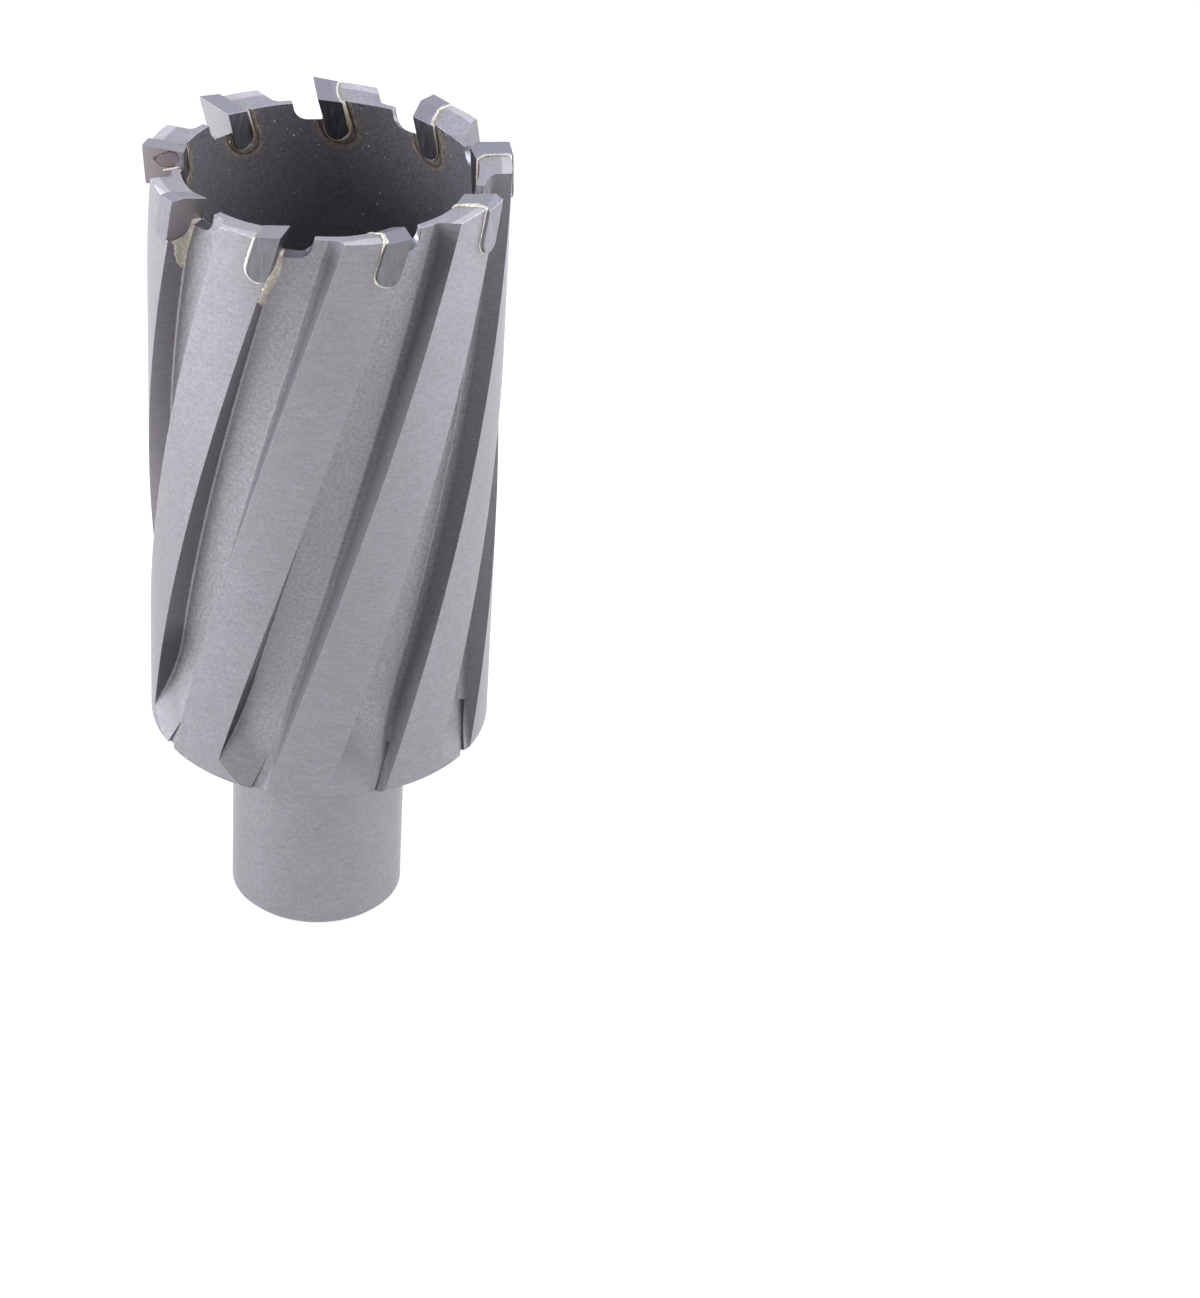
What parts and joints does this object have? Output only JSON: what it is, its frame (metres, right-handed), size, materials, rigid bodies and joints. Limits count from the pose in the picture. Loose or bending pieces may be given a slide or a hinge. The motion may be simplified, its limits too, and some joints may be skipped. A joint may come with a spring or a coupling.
{
  "type": "annular cutter",
  "caption": "Carbide tipped annular cutter with helical flutes, a plain two-flat shank and a pilot pin bore.",
  "frame": {"origin": "on the turning axis, in the plane of the shank end", "axes": "+Z along the turning axis from the shank end to the teeth; the two clamping flats face 36 and 126 degrees from +X towards +Y"},
  "size_m": [0.0377, 0.0377, 0.0905],
  "materials": {
    "tool_steel": "fine blasted satin",
    "cemented_carbide": "fine ground satin",
    "braze_filler": "as brazed"
  },
  "bodies": {
    "root": {"cutter_body": "tool_steel", "carbide_tip_1": "cemented_carbide", "carbide_tip_2": "cemented_carbide", "carbide_tip_3": "cemented_carbide", "carbide_tip_4": "cemented_carbide", "carbide_tip_5": "cemented_carbide", "carbide_tip_6": "cemented_carbide", "carbide_tip_7": "cemented_carbide", "carbide_tip_8": "cemented_carbide", "carbide_tip_9": "cemented_carbide", "braze_joint_1": "braze_filler", "braze_joint_2": "braze_filler", "braze_joint_3": "braze_filler", "braze_joint_4": "braze_filler", "braze_joint_5": "braze_filler", "braze_joint_6": "braze_filler", "braze_joint_7": "braze_filler", "braze_joint_8": "braze_filler", "braze_joint_9": "braze_filler"}
  },
  "joints": []
}
